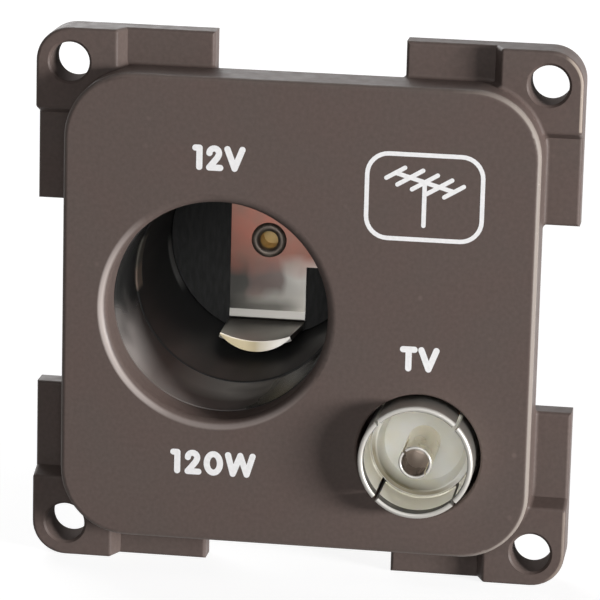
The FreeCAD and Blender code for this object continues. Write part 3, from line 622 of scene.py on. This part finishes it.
def ivory_plastic():
    """Ivory insulator, slightly see-through, a little warmer in places, browner at the dish's rim and wall
    towards its lower left.
    """
    base = tuple(settings().ivory_colour)
    rim_brown, wall_brown = (0.2, 0.155, 0.07), (0.15, 0.125, 0.06)
    material, tree, principled = shader("ivory_plastic", subsurface_weight=0.12, subsurface_scale=1.0 * MM,
                                        subsurface_radius=(1.0, 0.8, 0.5), specular_ior_level=0.5)
    vector = part_coordinates(tree)
    colour = mixed(tree, clouds(tree, vector, 330, ends=(0.35, 0.75)), base, toned(base, 0.98, 0.96, 0.88))
    radius, place = axis_parts(tree, AERIAL_AXIS)
    lean = leaning(tree, place, *DISH_DIRECTION)
    rim = product(tree, between(tree, radius, *DISH_RIM), ranged(tree, lean, *DISH_RIM_LOWER_LEFT))
    wall = product(tree, ranged(tree, radius, *DISH_WALL_START), ranged(tree, radius, *DISH_WALL_END),
                   ranged(tree, lean, *DISH_WALL_LOWER_LEFT))
    colour = mixed(tree, wall, mixed(tree, rim, colour, rim_brown), wall_brown)
    linked(tree, principled, base_color=colour, roughness=clouds(tree, vector, 2200, out=(0.3, 0.42)))
    return material


def print_ink():
    """White pad-printed ink, a little uneven."""
    base = tuple(settings().ink_colour)
    material, tree, principled = shader("print_ink", specular_ior_level=0.3)
    cover = clouds(tree, part_coordinates(tree), 3000)
    linked(tree, principled, base_color=mixed(tree, cover, tinted(base, 0.94), tinted(base, 1.03)),
           roughness=scaled(tree, cover, 0.5, 0.62))
    return material


def dress(material, *nodes):
    """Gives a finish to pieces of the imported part."""
    for name in nodes:
        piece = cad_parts[name]
        piece.data.materials.clear()
        piece.data.materials.append(material)


def add_piece(name, mesh, material):
    """Finished mesh as a piece of the part, at the origin."""
    data = bpy.data.meshes.new(name)
    mesh.to_mesh(data)
    mesh.free()
    data.materials.append(material)
    piece = bpy.data.objects.new(name, data)
    bpy.context.scene.collection.objects.link(piece)
    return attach(piece, "root")


# Print

def arc_points(centre, radii, first, last):
    """Points along an arc or an ellipse."""
    steps = math.ceil(abs(last - first) / ARC_STEP)
    angles = [math.radians(first + (last - first) * k / steps) for k in range(steps + 1)]
    return [(centre[0] + radii[0] * math.cos(a), centre[1] + radii[1] * math.sin(a)) for a in angles]


def stroke_points(stroke):
    """Corners of a stroke, with an arc worked out."""
    return arc_points(*stroke) if isinstance(stroke, tuple) else stroke


def round_bar(a, b, width):
    """Outline of a round-ended bar between two points."""
    a, b = Vector(a), Vector(b)
    turn = math.degrees(math.atan2(*(b - a).yx))
    half = (width / 2, width / 2)
    return (arc_points(b, half, turn - QUARTER_TURN, turn + QUARTER_TURN)
            + arc_points(a, half, turn + QUARTER_TURN, turn + 3 * QUARTER_TURN))


def print_mark(name, strokes, width, material):
    """Mark of round-ended strokes joined into one flat outline, as thick as the ink, on the face."""
    points, rings = [], []
    for stroke in strokes:
        run = stroke_points(stroke)
        for a, b in zip(run, run[1:]):
            ring = round_bar(a, b, width)
            rings.append(range(len(points), len(points) + len(ring)))
            points.extend(Vector(p) for p in ring)
    flat, _, faces, _, _, bars = delaunay_2d_cdt(points, [], rings, INSIDE_OUTLINES, OUTLINE_TOLERANCE)
    mesh = bmesh.new()
    verts = [mesh.verts.new((p.x * MM, FACE_Y, p.y * MM)) for p in flat]
    for face, covered in zip(faces, bars):
        if covered:
            mesh.faces.new([verts[i] for i in face])
    bmesh.ops.delete(mesh, geom=[v for v in mesh.verts if not v.link_faces], context="VERTS")
    bmesh.ops.dissolve_limit(mesh, angle_limit=math.radians(FLAT_ANGLE), verts=mesh.verts, edges=mesh.edges)
    raised = bmesh.ops.extrude_face_region(mesh, geom=mesh.faces[:])["geom"]
    top = [v for v in raised if isinstance(v, bmesh.types.BMVert)]
    bmesh.ops.translate(mesh, verts=top, vec=(0, -settings().ink_thickness, 0))
    bmesh.ops.recalc_face_normals(mesh, faces=mesh.faces)
    return add_piece(name, mesh, material)


def word_strokes(base_line, letters):
    """Strokes of a word, with each letter moved to its place."""
    strokes = []
    for letter, middle in letters:
        for stroke in GLYPHS[letter]:
            strokes.append([(x + middle, z + base_line) for x, z in stroke_points(stroke)])
    return strokes


def sign_strokes():
    """Rounded frame, mast, boom and rods of the aerial sign."""
    across, up = (half - SIGN_CORNER_R for half in SIGN_HALF)
    outline = []
    for k, (side_x, side_z) in enumerate(SIGN_SIDES):
        centre = (SIGN_MIDDLE[0] + side_x * across, SIGN_MIDDLE[1] + side_z * up)
        first = k * QUARTER_TURN
        outline += arc_points(centre, (SIGN_CORNER_R, SIGN_CORNER_R), first, first + QUARTER_TURN)
    rods = []
    start, end = (Vector(p) for p in BOOM)
    lean = Vector((math.cos(math.radians(ROD_ANGLE)), math.sin(math.radians(ROD_ANGLE))))
    for k, half in enumerate(ROD_HALVES):
        middle = start.lerp(end, k / (len(ROD_HALVES) - 1))
        rods.append([tuple(middle - lean * half), tuple(middle + lean * half)])
    return [outline + outline[:1], MAST, BOOM] + rods


# Thread

def port_thread(material):
    """Single helical ridge on the rear port, one pitch short of the nut and of the port's end."""
    look = settings()
    start, end = NUT_BACK + look.thread_pitch, PORT_BACK - look.thread_pitch
    turns = (end - start) / look.thread_pitch
    root, crest = look.port_radius, look.port_radius + look.thread_height
    half = look.thread_pitch * RIDGE_FOOT
    mesh = bmesh.new()
    profile = [(root, -half), (crest, -half * RIDGE_CREST), (crest, half * RIDGE_CREST), (root, half)]
    verts = [mesh.verts.new((AERIAL_AXIS.x + r, start + y, AERIAL_AXIS.z)) for r, y in profile]
    face = mesh.faces.new(verts)
    steps = round(turns * STEPS_PER_TURN)
    bmesh.ops.spin(mesh, geom=[face], cent=AERIAL_AXIS, axis=(0, 1, 0), angle=math.tau * turns,
                   dvec=(0, (end - start) / steps, 0), steps=steps)
    bmesh.ops.remove_doubles(mesh, verts=mesh.verts, dist=MERGE_DISTANCE)
    bmesh.ops.recalc_face_normals(mesh, faces=mesh.faces)
    return add_piece("port_thread", mesh, material)


# Stage

def seen_directly(tree):
    """1 on rays from the camera, from gloss and through glass, 0 on other rays."""
    path = tree.nodes.new("ShaderNodeLightPath")
    rays = [path.outputs[name] for name in ("Is Camera Ray", "Is Glossy Ray", "Is Transmission Ray")]
    return maths(tree, "MAXIMUM", maths(tree, "MAXIMUM", rays[0], rays[1]), rays[2])


def pale_floor():
    """Pale floor that keeps the shadow and is lifted to white where it is seen."""
    material = bpy.data.materials.new("pale_floor")
    material.use_nodes = True
    tree = material.node_tree
    tree.nodes.remove(tree.nodes["Principled BSDF"])
    diffuse = tree.nodes.new("ShaderNodeBsdfDiffuse")
    diffuse.inputs["Color"].default_value = FLOOR_GREY
    glow = tree.nodes.new("ShaderNodeEmission")
    tree.links.new(product(tree, seen_directly(tree), settings().floor_lift), glow.inputs["Strength"])
    both = tree.nodes.new("ShaderNodeAddShader")
    for shade, socket in zip((diffuse, glow), both.inputs):
        tree.links.new(shade.outputs[0], socket)
    tree.links.new(both.outputs[0], tree.nodes["Material Output"].inputs["Surface"])
    return material


def soft_lamp(name, place, size, watts):
    """Soft lamp, so wide and so high, that looks at the part's middle."""
    lamp = bpy.data.lights.new(name, "AREA")
    lamp.shape = "RECTANGLE"
    lamp.size, lamp.size_y = size
    lamp.energy = watts
    piece = bpy.data.objects.new(name, lamp)
    piece.location = place
    piece.rotation_euler = (-Vector(place)).to_track_quat("-Z", "Y").to_euler()
    bpy.context.scene.collection.objects.link(piece)


def white_world(ambient):
    """World that is white where it is seen and gives an even dim light elsewhere."""
    world = bpy.data.worlds.new("white_world")
    world.use_nodes = True
    tree = world.node_tree
    background = tree.nodes["Background"]
    background.inputs["Color"].default_value = (1, 1, 1, 1)
    tree.links.new(scaled(tree, seen_directly(tree), ambient, 1.0), background.inputs["Strength"])
    bpy.context.scene.world = world


class SocketSettings(bpy.types.PropertyGroup):
    """Sizes, colours and light that a user would change."""
    face_colour: FloatVectorProperty(name="Face", description="Colour of the moulding", subtype="COLOR",
                                     default=(0.094, 0.07, 0.062), min=0, max=1)
    black_colour: FloatVectorProperty(name="Black", description="Colour of the cup and boards",
                                      subtype="COLOR", default=(0.026, 0.026, 0.0255), min=0, max=1)
    nickel_colour: FloatVectorProperty(name="Nickel", description="Colour of nickel plate", subtype="COLOR",
                                       default=(0.82, 0.79, 0.73), min=0, max=1)
    copper_colour: FloatVectorProperty(name="Copper bloom", description="Red tint on the clip",
                                       subtype="COLOR", default=(0.36, 0.15, 0.115), min=0, max=1)
    brass_colour: FloatVectorProperty(name="Brass", description="Colour of rivet and blade", subtype="COLOR",
                                      default=(0.62, 0.47, 0.23), min=0, max=1)
    tin_colour: FloatVectorProperty(name="Tin", description="Colour of tin and zinc plate", subtype="COLOR",
                                    default=(0.58, 0.58, 0.56), min=0, max=1)
    ivory_colour: FloatVectorProperty(name="Ivory", description="Colour of the aerial insulators",
                                      subtype="COLOR", default=(0.96, 0.96, 0.94), min=0, max=1)
    ink_colour: FloatVectorProperty(name="Ink", description="Colour of the print", subtype="COLOR",
                                    default=(0.84, 0.83, 0.83), min=0, max=1)
    ink_thickness: FloatProperty(name="Ink thickness", description="How far the print stands off the face",
                                 default=0.02 * MM, unit="LENGTH")
    letter_width: FloatProperty(name="Letter stroke", description="Stroke of the letters, in millimetres",
                                default=0.6)
    sign_width: FloatProperty(name="Sign stroke", description="Stroke of the sign, in millimetres",
                              default=0.42)
    port_radius: FloatProperty(name="Port radius", description="Root of the rear port's thread",
                               default=4.4 * MM, unit="LENGTH")
    thread_pitch: FloatProperty(name="Thread pitch", description="Pitch of the rear port's thread",
                                default=0.79 * MM, unit="LENGTH")
    thread_height: FloatProperty(name="Thread height", description="Height of the thread's ridge",
                                 default=0.36 * MM, unit="LENGTH")
    camera_place: FloatVectorProperty(name="Camera place", description="Where the camera stands",
                                      subtype="XYZ", default=(0.04887, -0.35011, 0.08473), unit="LENGTH")
    camera_turn: FloatVectorProperty(name="Camera turn", description="How the camera is turned",
                                     subtype="EULER",
                                     default=[math.radians(a) for a in (76.506, -1.417, 8.404)])
    camera_lens: FloatProperty(name="Lens", description="Focal length on a 36 mm sensor", default=224.0,
                               subtype="DISTANCE_CAMERA")
    key_watts: FloatProperty(name="Key lamp", description="Lamp at the right", default=20.8, unit="POWER")
    fill_watts: FloatProperty(name="Fill lamp", description="Lamp near the camera", default=0.7, unit="POWER")
    back_watts: FloatProperty(name="Back lamp", description="Lamp behind the part", default=2.4, unit="POWER")
    ambient: FloatProperty(name="Ambient", description="Even light from all sides", default=0.02)
    floor_lift: FloatProperty(name="Floor lift", description="White added to the floor where it is seen",
                              default=0.85)


class SOCKET_OT_finish_moulding(bpy.types.Operator):
    """Give the front moulding its satin finish"""
    bl_idname = "socket.finish_moulding"
    bl_label = "Finish Moulding"

    def execute(self, context):
        dress(satin_moulding(), "front_moulding")
        return {"FINISHED"}


class SOCKET_OT_finish_cup(bpy.types.Operator):
    """Give the black collar, the cup and its insulating boards their finishes"""
    bl_idname = "socket.finish_cup"
    bl_label = "Finish Cup"

    def execute(self, context):
        dress(collar_painted_light(), "barrel_collar")
        dress(cup_lacquer(), "barrel_shell")
        dress(pressed_board(), "floor_insulator", "rear_insulator")
        return {"FINISHED"}


class SOCKET_OT_finish_contacts(bpy.types.Operator):
    """Give the sprung clip, rivets and blades their metals"""
    bl_idname = "socket.finish_contacts"
    bl_label = "Finish Contacts"

    def execute(self, context):
        look = settings()
        brass = metal("blade_brass", tuple(look.brass_colour), POWER_AXIS, rough=0.34, dull=0.7)
        tin = metal("blade_tin", tuple(look.tin_colour), POWER_AXIS, rough=0.36)
        dress(clip_plate(), "centre_clip")
        dress(rolled_rivet(), "centre_rivet")
        dress(brass, "positive_terminal")
        dress(tin, "negative_terminal", "negative_rivet")
        return {"FINISHED"}


class SOCKET_OT_finish_aerial(bpy.types.Operator):
    """Give the aerial outlet its nickel, ivory and zinc"""
    bl_idname = "socket.finish_aerial"
    bl_label = "Finish Aerial Outlet"

    def execute(self, context):
        nickel = grooved_shell()
        zinc = metal("washer_zinc", tuple(settings().tin_colour), AERIAL_AXIS, rough=0.38)
        dress(nickel, "aerial_shell", "aerial_nut")
        dress(bored_contact(), "aerial_centre_contact")
        dress(ivory_plastic(), "aerial_front_insulator", "aerial_rear_insulator")
        dress(zinc, "aerial_lock_washer")
        port_thread(nickel)
        return {"FINISHED"}


class SOCKET_OT_print_face(bpy.types.Operator):
    """Print the words and the aerial sign on the face"""
    bl_idname = "socket.print_face"
    bl_label = "Print Face"

    def execute(self, context):
        look = settings()
        ink = print_ink()
        for name, (base_line, letters) in WORDS.items():
            print_mark(name, word_strokes(base_line, letters), look.letter_width, ink)
        print_mark("aerial_sign", sign_strokes(), look.sign_width, ink)
        return {"FINISHED"}


class SOCKET_OT_make_stage(bpy.types.Operator):
    """Make the floor, the lamps, the world and the camera"""
    bl_idname = "socket.make_stage"
    bl_label = "Make Stage"

    def execute(self, context):
        look = settings()
        scene = context.scene
        mesh = bmesh.new()
        bmesh.ops.create_grid(mesh, x_segments=1, y_segments=1, size=FLOOR_HALF)
        bmesh.ops.translate(mesh, verts=mesh.verts, vec=(0, 0, FLOOR_Z))
        data = bpy.data.meshes.new("floor")
        mesh.to_mesh(data)
        mesh.free()
        data.materials.append(pale_floor())
        floor = bpy.data.objects.new("floor", data)
        scene.collection.objects.link(floor)

        soft_lamp("key_lamp", *KEY_LAMP, look.key_watts)
        soft_lamp("fill_lamp", *FILL_LAMP, look.fill_watts)
        soft_lamp("back_lamp", *BACK_LAMP, look.back_watts)
        white_world(look.ambient)

        camera = bpy.data.cameras.new("camera")
        camera.lens = look.camera_lens
        camera.clip_start, camera.clip_end = CAMERA_RANGE
        stand = bpy.data.objects.new("camera", camera)
        stand.location = look.camera_place
        stand.rotation_euler = Euler(look.camera_turn, "XYZ")
        scene.collection.objects.link(stand)
        scene.camera = stand
        scene.view_settings.view_transform = "Standard"
        return {"FINISHED"}


class SOCKET_PT_panel(bpy.types.Panel):
    """Steps and settings of the socket"""
    bl_idname = "SOCKET_PT_panel"
    bl_label = "Power Socket"
    bl_space_type = "VIEW_3D"
    bl_region_type = "UI"
    bl_category = "Socket"

    def draw(self, context):
        for step in STEPS:
            self.layout.operator(step.bl_idname)
        for name in SocketSettings.__annotations__:
            self.layout.prop(context.scene.socket_settings, name)


STEPS = (SOCKET_OT_finish_moulding, SOCKET_OT_finish_cup, SOCKET_OT_finish_contacts, SOCKET_OT_finish_aerial,
         SOCKET_OT_print_face, SOCKET_OT_make_stage)
CLASSES = (SocketSettings, *STEPS, SOCKET_PT_panel)


def register():
    """Registers the classes and the settings."""
    for cls in CLASSES:
        bpy.utils.register_class(cls)
    bpy.types.Scene.socket_settings = PointerProperty(type=SocketSettings)


def unregister():
    """Takes the settings and the classes away again."""
    del bpy.types.Scene.socket_settings
    for cls in reversed(CLASSES):
        bpy.utils.unregister_class(cls)


def main():
    """Runs every step."""
    register()
    bpy.ops.socket.finish_moulding()
    bpy.ops.socket.finish_cup()
    bpy.ops.socket.finish_contacts()
    bpy.ops.socket.finish_aerial()
    bpy.ops.socket.print_face()
    bpy.ops.socket.make_stage()


if __name__ == "__main__":
    main()
